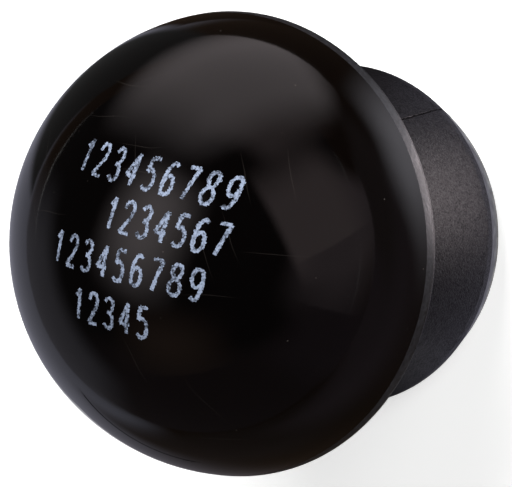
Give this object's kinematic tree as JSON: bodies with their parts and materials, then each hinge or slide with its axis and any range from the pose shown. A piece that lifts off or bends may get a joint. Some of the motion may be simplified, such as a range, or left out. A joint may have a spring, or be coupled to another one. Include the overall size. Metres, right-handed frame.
{
  "type": "blind plug",
  "caption": "One-piece moulded plug with a domed mushroom head and a waisted, chamfered shank that closes an unused cable gland.",
  "frame": {"origin": "centre of the shank's flat end face, on which the plug stands", "axes": "+Z along the plug's axis from the shank's end face to the top of the dome; the mould's parting plane holds the Z and X axes"},
  "size_m": [0.02, 0.02, 0.0205],
  "materials": {
    "black_polyamide": "polished dome, satin rim, spark-eroded shank"
  },
  "bodies": {
    "root": {"plug_body": "black_polyamide"}
  },
  "joints": []
}
